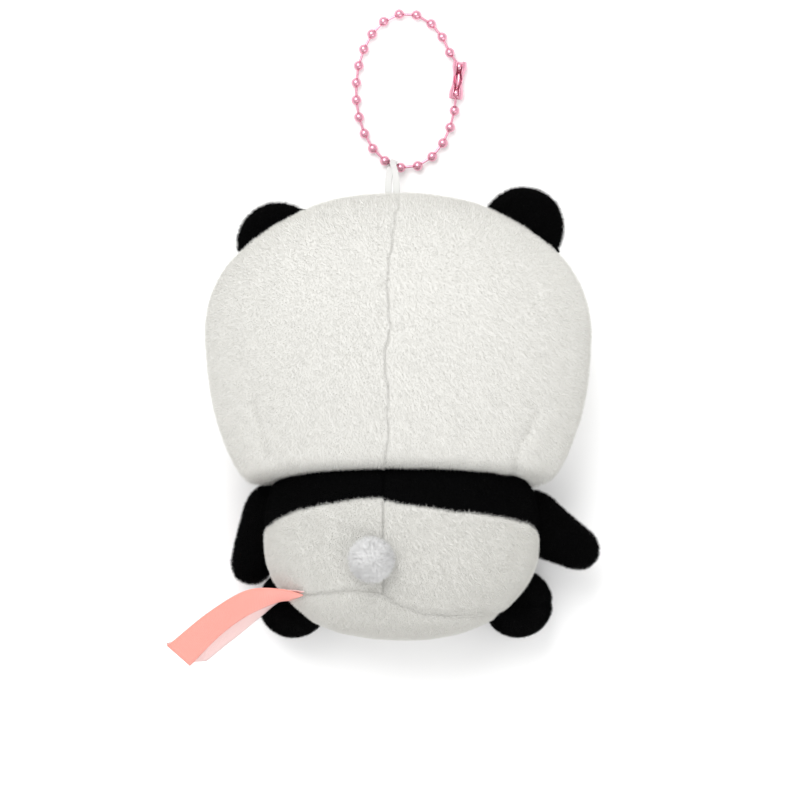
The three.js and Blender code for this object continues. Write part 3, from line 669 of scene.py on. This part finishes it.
tail_low, tail_high = (Vector(v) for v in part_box("tail_pompom"))
TAIL_CORE = 0.0036
TAIL_RADIUS = (tail_high.x - tail_low.x) / 2
tail_middle = (tail_low + tail_high) / 2
tail_middle.z = tail_high.z - TAIL_RADIUS
bpy.ops.mesh.primitive_ico_sphere_add(subdivisions=4, radius=TAIL_CORE, location=(0, 0, 0))
tail = bpy.context.object
tail.name = tail.data.name = "pompom_tail"
tail_points = points_of(tail)
uneven = (1 + 0.05 * ripple(tail_points, 0.004, 5))[:, None]
set_points(tail, tail_points * uneven + np.array(tail_middle))
tail.data.materials.append(pompom_plush)
grow_pile(tail, pompom_plush, most=9000, density=1e9, Length=0.0024, Width=0.00024,
          Comb=(0, -0.1, 0), Unrest=0.8, Relief=0.2)
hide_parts("tail_pompom")
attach(tail, "tail")

# ---- Face ----
# Black plush patches let into the face, gloss plastic eyes whose stems are held by washers
# inside, a plastic nose, and a mouth of one thick stitch.

for side in ("left", "right"):
    patch = joined_form(f"eye_patch_{side}_plush", [f"eye_patch_{side}"], 0.0005)
    grow_pile(patch, black_plush, most=9000, Length=0.0008)
    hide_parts(f"eye_patch_{side}")
    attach(patch, "plush")


def surface_grain():
    """A faint unevenness in height and in polish."""
    tree, nodes, links, given, end = effect_group(
        "surface_grain",
        {"Scale": "Float", "Depth": "Float", "Smoothest": "Float", "Roughest": "Float"},
        {"Roughness": "Float", "Normal": "Vector"})
    place = nodes.new("ShaderNodeTexCoord")
    grain = nodes.new("ShaderNodeTexNoise")
    grain.inputs["Detail"].default_value = 4
    links.new(place.outputs["Object"], grain.inputs["Vector"])
    links.new(given["Scale"], grain.inputs["Scale"])
    bump = nodes.new("ShaderNodeBump")
    bump.inputs["Strength"].default_value = 0.5
    links.new(given["Depth"], bump.inputs["Distance"])
    links.new(grain.outputs["Fac"], bump.inputs["Height"])
    links.new(bump.outputs["Normal"], end["Normal"])
    worn = nodes.new("ShaderNodeMapRange")
    links.new(given["Smoothest"], worn.inputs["To Min"])
    links.new(given["Roughest"], worn.inputs["To Max"])
    links.new(grain.outputs["Fac"], worn.inputs["Value"])
    links.new(worn.outputs["Result"], end["Roughness"])
    return tree


grains = surface_grain()


def grain_material(name, color, roughness, metallic, scale, depth, coat=0.0):
    """A moulded, spun or plated surface with its own grain."""
    material, tree, shader = new_material(name, color, roughness, metallic)
    shader.inputs["Coat Weight"].default_value = coat
    use_effect(tree, shader, grains, {"Roughness": "Roughness", "Normal": "Normal"}, Scale=scale,
               Depth=depth, Smoothest=roughness * 0.8, Roughest=min(1, roughness * 1.25))
    return material


def dress(node, material):
    """A CAD piece keeps its shape and gets its finish."""
    mesh = frame["nodes"][node].data
    mesh.materials.clear()
    mesh.materials.append(material)


eye_plastic = grain_material("eye_plastic", (0.006, 0.005, 0.005), 0.12, 0.0, 900, 0.00002, coat=0.6)
washer_plastic = grain_material("washer_plastic", (0.72, 0.72, 0.7), 0.5, 0.0, 1200, 0.00003)
mouth_thread = grain_material("mouth_thread", (0.012, 0.01, 0.01), 0.8, 0.0, 2600, 0.0001)
for node in ("eye_left", "eye_right", "nose"):
    dress(node, eye_plastic)
for node in ("eye_washer_left", "eye_washer_right"):
    dress(node, washer_plastic)
dress("mouth_stitch", mouth_thread)

# ---- Ribbon loop ----
# A narrow white satin ribbon, folded double: both ends are caught side by side in the seam
# at the top of the head, and the fold goes round the chain's wire.

THREAD_RELIEF = 0.00006

def satin_weave():
    """Fine threads along and across a ribbon, whose back has a colour of its own."""
    tree, nodes, links, given, end = effect_group(
        "satin_weave", {"Face": "Color", "Back": "Color", "Across": "Float", "Along": "Float"},
        {"Color": "Color", "Normal": "Vector"})
    shows_back = nodes.new("ShaderNodeAttribute")
    shows_back.attribute_name = "back"
    faced = nodes.new("ShaderNodeMix")
    faced.data_type = "RGBA"
    links.new(given["Face"], faced.inputs["A"])
    links.new(given["Back"], faced.inputs["B"])
    links.new(shows_back.outputs["Fac"], faced.inputs["Factor"])
    cloth_map = nodes.new("ShaderNodeUVMap")
    cloth_map.uv_map = "cloth"
    heights = []
    for direction, threads in (("X", "Across"), ("Y", "Along")):
        thread = nodes.new("ShaderNodeTexWave")
        thread.bands_direction = direction
        thread.inputs["Distortion"].default_value = 0.4
        links.new(given[threads], thread.inputs["Scale"])
        links.new(cloth_map.outputs["UV"], thread.inputs["Vector"])
        heights.append(thread)
    weave = nodes.new("ShaderNodeMath")
    weave.operation = "ADD"
    links.new(heights[0].outputs["Fac"], weave.inputs[0])
    links.new(heights[1].outputs["Fac"], weave.inputs[1])
    shade = nodes.new("ShaderNodeMath")
    shade.operation = "MULTIPLY_ADD"
    shade.inputs[1].default_value = 0.07
    shade.inputs[2].default_value = 0.93
    links.new(weave.outputs[0], shade.inputs[0])
    colored = nodes.new("ShaderNodeVectorMath")
    colored.operation = "SCALE"
    links.new(faced.outputs["Result"], colored.inputs[0])
    links.new(shade.outputs[0], colored.inputs["Scale"])
    links.new(colored.outputs["Vector"], end["Color"])
    bump = nodes.new("ShaderNodeBump")
    bump.inputs["Distance"].default_value = THREAD_RELIEF
    bump.inputs["Strength"].default_value = 0.6
    links.new(weave.outputs[0], bump.inputs["Height"])
    links.new(bump.outputs["Normal"], end["Normal"])
    return tree


weave_of_satin = satin_weave()


def woven_material(name, color, back, threads):
    """Narrow woven satin ribbon."""
    material, tree, shader = new_material(name, color, 0.5)
    shader.inputs["Sheen Weight"].default_value = 0.25
    use_effect(tree, shader, weave_of_satin, {"Color": "Base Color", "Normal": "Normal"},
               Face=(*color, 1), Back=(*back, 1), Across=threads, Along=threads * 0.6)
    return material


def smooth_path(points, count):
    """A given number of places on a smooth curve through the points."""
    points = [Vector(p) for p in points]
    ends = [points[0] * 2 - points[1]] + points + [points[-1] * 2 - points[-2]]
    out = []
    for k in range(count):
        t = k / (count - 1) * (len(points) - 1)
        i = min(int(t), len(points) - 2)
        u = t - i
        a, b, c, d = ends[i : i + 4]
        out.append(0.5 * ((2 * b) + (c - a) * u + (2 * a - 5 * b + 4 * c - d) * u * u
                          + (3 * b - 3 * c + d - a) * u ** 3))
    return out


def ribbon_sheet(name, left_edge, right_edge, thickness, across, material, back):
    """A woven strip between two edges, with its own cloth map in millimetres."""
    rows = len(left_edge)
    vertices, faces = [], []
    for a, b in zip(left_edge, right_edge):
        vertices += [a.lerp(b, k / across) for k in range(across + 1)]
    width = across + 1
    for i in range(rows - 1):
        for k in range(across):
            a = i * width + k
            faces.append((a, a + 1, a + width + 1, a + width))
    piece = mesh_object(name, vertices, faces, material)
    run = [0.0]
    for i in range(1, rows):
        middle = (left_edge[i] + right_edge[i] - left_edge[i - 1] - right_edge[i - 1]) / 2
        run.append(run[-1] + middle.length)
    wide = (left_edge[rows // 3] - right_edge[rows // 3]).length
    cloth_map = piece.data.uv_layers.new(name="cloth")
    for loop in piece.data.loops:
        i, k = divmod(loop.vertex_index, width)
        cloth_map.data[loop.index].uv = (k / across * wide * 1000, run[i] * 1000)
    shown = piece.data.attributes.new("back", "FLOAT", "POINT")
    for i in range(rows):
        for k in range(width):
            shown.data[i * width + k].value = back[i]
    wall = piece.modifiers.new("wall", "SOLIDIFY")
    wall.thickness = thickness
    wall.offset = 0
    apply_modifiers(piece)
    return piece


joint_at = {j["name"]: Vector(j["pos_m"]) for j in frame["joints"]}
joint_axis = {j["name"]: Vector(j["axis"]) for j in frame["joints"]}
RIBBON_HALF = 0.0008
RIBBON_EYE = 0.00095  # the fold's radius round the wire
RIBBON_THICK = 0.0003
RIBBON_ROWS = 150
seam_top = joint_at["ribbon_lift"]
wire = joint_at["chain_swing"]
wire_way = joint_axis["chain_swing"]
# The white satin is given a grey colour, which is painted shade.
ribbon_satin = woven_material("ribbon_satin", (0.64, 0.64, 0.62), (0.64, 0.64, 0.62), 1.8)


def strand(side):
    """One half of the ribbon, from inside the seam to just above the wire."""
    return [
        seam_top + Vector((side * 0.0010, -0.0016, -0.0002)),
        seam_top + Vector((side * 0.0010, 0.0010, 0.0002)),
        seam_top + Vector((side * 0.0009, 0.0036, -0.0022)),
        seam_top + Vector((side * 0.0007, 0.0056, -0.0075)),
        seam_top + Vector((side * 0.0004, 0.0070, -0.0140)),
        wire + Vector((side * 0.0001, -0.0006 + side * 0.0006, 0.0030)),
    ]


out_way = Vector((0, 1, 0)) - wire_way * wire_way.y
out_way.normalize()
fold = []
for k in range(7):
    a = math.radians(160 + 220 * k / 6)
    fold.append(wire + (out_way * math.cos(a) + Vector((0, 0, 1)) * math.sin(a)) * RIBBON_EYE)
route = smooth_path(strand(-1) + fold + strand(1)[::-1], RIBBON_ROWS)
edges = ([], [])
for i, place in enumerate(route):
    share = min(1, max(0, (seam_top.z - place.z) / (seam_top.z - wire.z) * 1.15 - 0.15))
    wide = Vector((1, 0, 0)).lerp(wire_way, share).normalized() * RIBBON_HALF
    edges[0].append(place - wide)
    edges[1].append(place + wide)
hang_ribbon = ribbon_sheet(
    "hang_ribbon_satin", *edges, RIBBON_THICK, 6, ribbon_satin, [0] * RIBBON_ROWS)
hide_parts("hang_ribbon")
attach(hang_ribbon, "ribbon")

# ---- Care label ----
# A strip of coral satin ribbon folded in two, with both ends caught in the base seam. It
# comes out of the seam on edge, turns flat and droops; the lower layer slides out beneath.

LABEL_ROWS = 60
RETURN_SLIDE = 0.0060  # how far the lower layer slides out
LAYER_GAP = 0.0009
label_satin = woven_material("label_satin", (0.92, 0.32, 0.26), (0.84, 0.58, 0.56), 1.2)
label_root = joint_at["label_lift"]
# the strip's two edges in millimetres from the seam
upper_edge = [
    (2.0, 0.3, 1.8), (-3.4, 1.7, 1.0), (-11.4, 1.3, -2.6), (-20.4, -3.9, -8.2), (-30.6, -12.2, -12.6)]
lower_edge = [
    (-1.0, -1.2, -7.6), (-4.6, -1.8, -8.0), (-11.6, -5.0, -10.3), (-18.3, -10.0, -15.8),
    (-25.4, -17.2, -19.4)]
upper_side = smooth_path([label_root + Vector(p) / 1000 for p in upper_edge], LABEL_ROWS)
lower_side = smooth_path([label_root + Vector(p) / 1000 for p in lower_edge], LABEL_ROWS)
label_edges = (list(upper_side), list(lower_side))
for i in range(LABEL_ROWS - 1, -1, -1):
    t = 1 - i / (LABEL_ROWS - 1)
    ahead = upper_side[max(i, 1)] - upper_side[max(i, 1) - 1]
    across = (lower_side[i] - upper_side[i]).normalized()
    below = ahead.cross(across).normalized()
    below *= -1 if below.z > 0 else 1
    slide = across * RETURN_SLIDE * min(1, t * 12) * math.sin(math.pi * (0.15 + 0.85 * t))
    slide += below * LAYER_GAP
    label_edges[0].append(upper_side[i] + slide)
    label_edges[1].append(lower_side[i] + slide)
label_back = [0] * LABEL_ROWS + [1] * LABEL_ROWS
care_label = ribbon_sheet("care_label_satin", *label_edges, 0.00022, 10, label_satin, label_back)
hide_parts("care_label")
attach(care_label, "label")

# ---- Ball chain ----
# Hollow balls pressed from thin steel and plated pink. Each has a bar whose head is held in
# the next ball, and the two end balls are held by the clasp.

pink_metal = grain_material("pink_metal", (0.74, 0.34, 0.44), 0.26, 1.0, 700, 0.00003, coat=0.4)
BALL_RADIUS = 0.0012
BAR_RADIUS = 0.00032


def link_tree():
    """A ball at Middle with a bar that runs from its wall to End."""
    tree = bpy.data.node_groups.new("ball_link", "GeometryNodeTree")
    sockets = {}
    for name, kind in (("Middle", "Vector"), ("End", "Vector"), ("Ball", "Float"), ("Bar", "Float"),
                       ("Plating", "Material")):
        sockets[name] = tree.interface.new_socket(
            name, in_out="INPUT", socket_type="NodeSocket" + kind).identifier
    tree.interface.new_socket("Link", in_out="OUTPUT", socket_type="NodeSocketGeometry")
    nodes, links = tree.nodes, tree.links
    given = nodes.new("NodeGroupInput").outputs
    ball = nodes.new("GeometryNodeMeshUVSphere")
    ball.inputs["Segments"].default_value = 32
    ball.inputs["Rings"].default_value = 18
    links.new(given["Ball"], ball.inputs["Radius"])
    along = nodes.new("ShaderNodeVectorMath")
    along.operation = "SUBTRACT"
    links.new(given["End"], along.inputs[0])
    links.new(given["Middle"], along.inputs[1])
    turn = nodes.new("FunctionNodeAlignRotationToVector")
    links.new(along.outputs[0], turn.inputs["Vector"])
    placed = nodes.new("GeometryNodeTransform")
    links.new(ball.outputs["Mesh"], placed.inputs["Geometry"])
    links.new(given["Middle"], placed.inputs["Translation"])
    links.new(turn.outputs[0], placed.inputs["Rotation"])
    line = nodes.new("GeometryNodeCurvePrimitiveLine")
    links.new(given["Middle"], line.inputs["Start"])
    links.new(given["End"], line.inputs["End"])
    ring = nodes.new("GeometryNodeCurvePrimitiveCircle")
    ring.inputs["Resolution"].default_value = 12
    links.new(given["Bar"], ring.inputs["Radius"])
    bar = nodes.new("GeometryNodeCurveToMesh")
    bar.inputs["Fill Caps"].default_value = True
    links.new(line.outputs[0], bar.inputs["Curve"])
    links.new(ring.outputs[0], bar.inputs["Profile Curve"])
    both = nodes.new("GeometryNodeJoinGeometry")
    links.new(placed.outputs[0], both.inputs[0])
    links.new(bar.outputs[0], both.inputs[0])
    round_shade = nodes.new("GeometryNodeSetShadeSmooth")
    links.new(both.outputs[0], round_shade.inputs[0])
    real = nodes.new("GeometryNodeRealizeInstances")
    links.new(round_shade.outputs[0], real.inputs[0])
    plated = nodes.new("GeometryNodeSetMaterial")
    links.new(real.outputs[0], plated.inputs["Geometry"])
    links.new(given["Plating"], plated.inputs["Material"])
    end = nodes.new("NodeGroupOutput")
    links.new(plated.outputs[0], end.inputs[0])
    return tree, sockets


link, link_sockets = link_tree()


def add_link(node, middle, bar_end):
    piece = mesh_object(node + "_plated", [], [], pink_metal)
    modifier = piece.modifiers.new("link", "NODES")
    modifier.node_group = link
    values = {
        "Middle": middle, "End": bar_end, "Ball": BALL_RADIUS, "Bar": BAR_RADIUS, "Plating": pink_metal}
    for name, value in values.items():
        modifier[link_sockets[name]] = value
    apply_modifiers(piece)
    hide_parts(node)
    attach(piece, node)


# Each joint of the chain stands at a ball's middle. The last ball on the left has no joint, so
# its middle is found from the clasp's span and the chain's even pitch.
lefts = [joint_at[f"flex_left_{i:02d}"] for i in range(2, 17)]
rights = [joint_at[f"flex_right_{i:02d}"] for i in range(1, 8)]
step = (lefts[-1] - lefts[-2]).length
CLASP_SPAN = 0.0065
closing = (lefts[-1] - rights[-1]).length
reach = (CLASP_SPAN ** 2 - step ** 2 + closing ** 2) / (2 * closing)
aside = math.sqrt(max(0, CLASP_SPAN ** 2 - reach ** 2))
towards = (lefts[-1] - rights[-1]).normalized()
last_left = rights[-1] + towards * reach + Vector((towards.y, -towards.x, 0)) * aside
lefts.append(last_left)
add_link("ball_left_01", lefts[0], rights[0])
for i in range(1, 16):
    add_link(f"ball_left_{i + 1:02d}", lefts[i], lefts[i - 1])
for i in range(6):
    add_link(f"ball_right_{i + 1:02d}", rights[i], rights[i + 1])
add_link("ball_right_07", rights[6], rights[6] + (last_left - rights[6]).normalized() * BALL_RADIUS)

# ---- Clasp ----
# One strip of plated steel rolled into a trough: a cup for a ball at each end, a waist between,
# and a slot along the top that the balls are pressed in through.

CUP = 0.0016
CUP_REACH = 0.0014  # how far a cup's bulge runs into the waist
WAIST = 0.00112
CUP_WALL = 0.00022
SLOT_HALF = 0.42  # in radians round the trough
KEYHOLE_HALF, KEYHOLE_REACH = 0.75, 0.0012
clasp_way = last_left - rights[6]
clasp_long = clasp_way.length
clasp_way.normalize()
clasp_side = clasp_way.cross(Vector((0, 0, 1))).normalized()
clasp_up = clasp_side.cross(clasp_way)
clasp_rows, clasp_turns = 56, 40
vertices, faces = [], []
for i in range(clasp_rows + 1):
    t = -0.2 + 1.4 * i / clasp_rows
    to_end = min(abs(t), abs(1 - t)) * clasp_long
    if 0 <= t <= 1:
        bulge = math.exp(-((to_end / CUP_REACH) ** 2))
    else:
        bulge = math.cos(min(1, to_end / CUP) * 0.75)
    radius = WAIST + (CUP - WAIST) * bulge
    slot_half = SLOT_HALF + KEYHOLE_HALF * math.exp(-(((t - 0.5) * clasp_long / KEYHOLE_REACH) ** 2))
    for k in range(clasp_turns + 1):
        a = math.pi / 2 + slot_half + (2 * math.pi - 2 * slot_half) * k / clasp_turns
        vertices.append(rights[6] + clasp_way * (t * clasp_long)
                        + (clasp_side * math.cos(a) + clasp_up * math.sin(a)) * radius)
for i in range(clasp_rows):
    for k in range(clasp_turns):
        a = i * (clasp_turns + 1) + k
        faces.append((a, a + 1, a + clasp_turns + 2, a + clasp_turns + 1))
clasp = mesh_object("clasp_plated", vertices, faces, pink_metal)
clasp_wall = clasp.modifiers.new("wall", "SOLIDIFY")
clasp_wall.thickness = CUP_WALL
clasp_wall.offset = 0
clasp_edge = clasp.modifiers.new("edge", "BEVEL")
clasp_edge.width = 0.00006
clasp_edge.segments = 2
apply_modifiers(clasp)
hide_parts("clasp")
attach(clasp, "clasp")
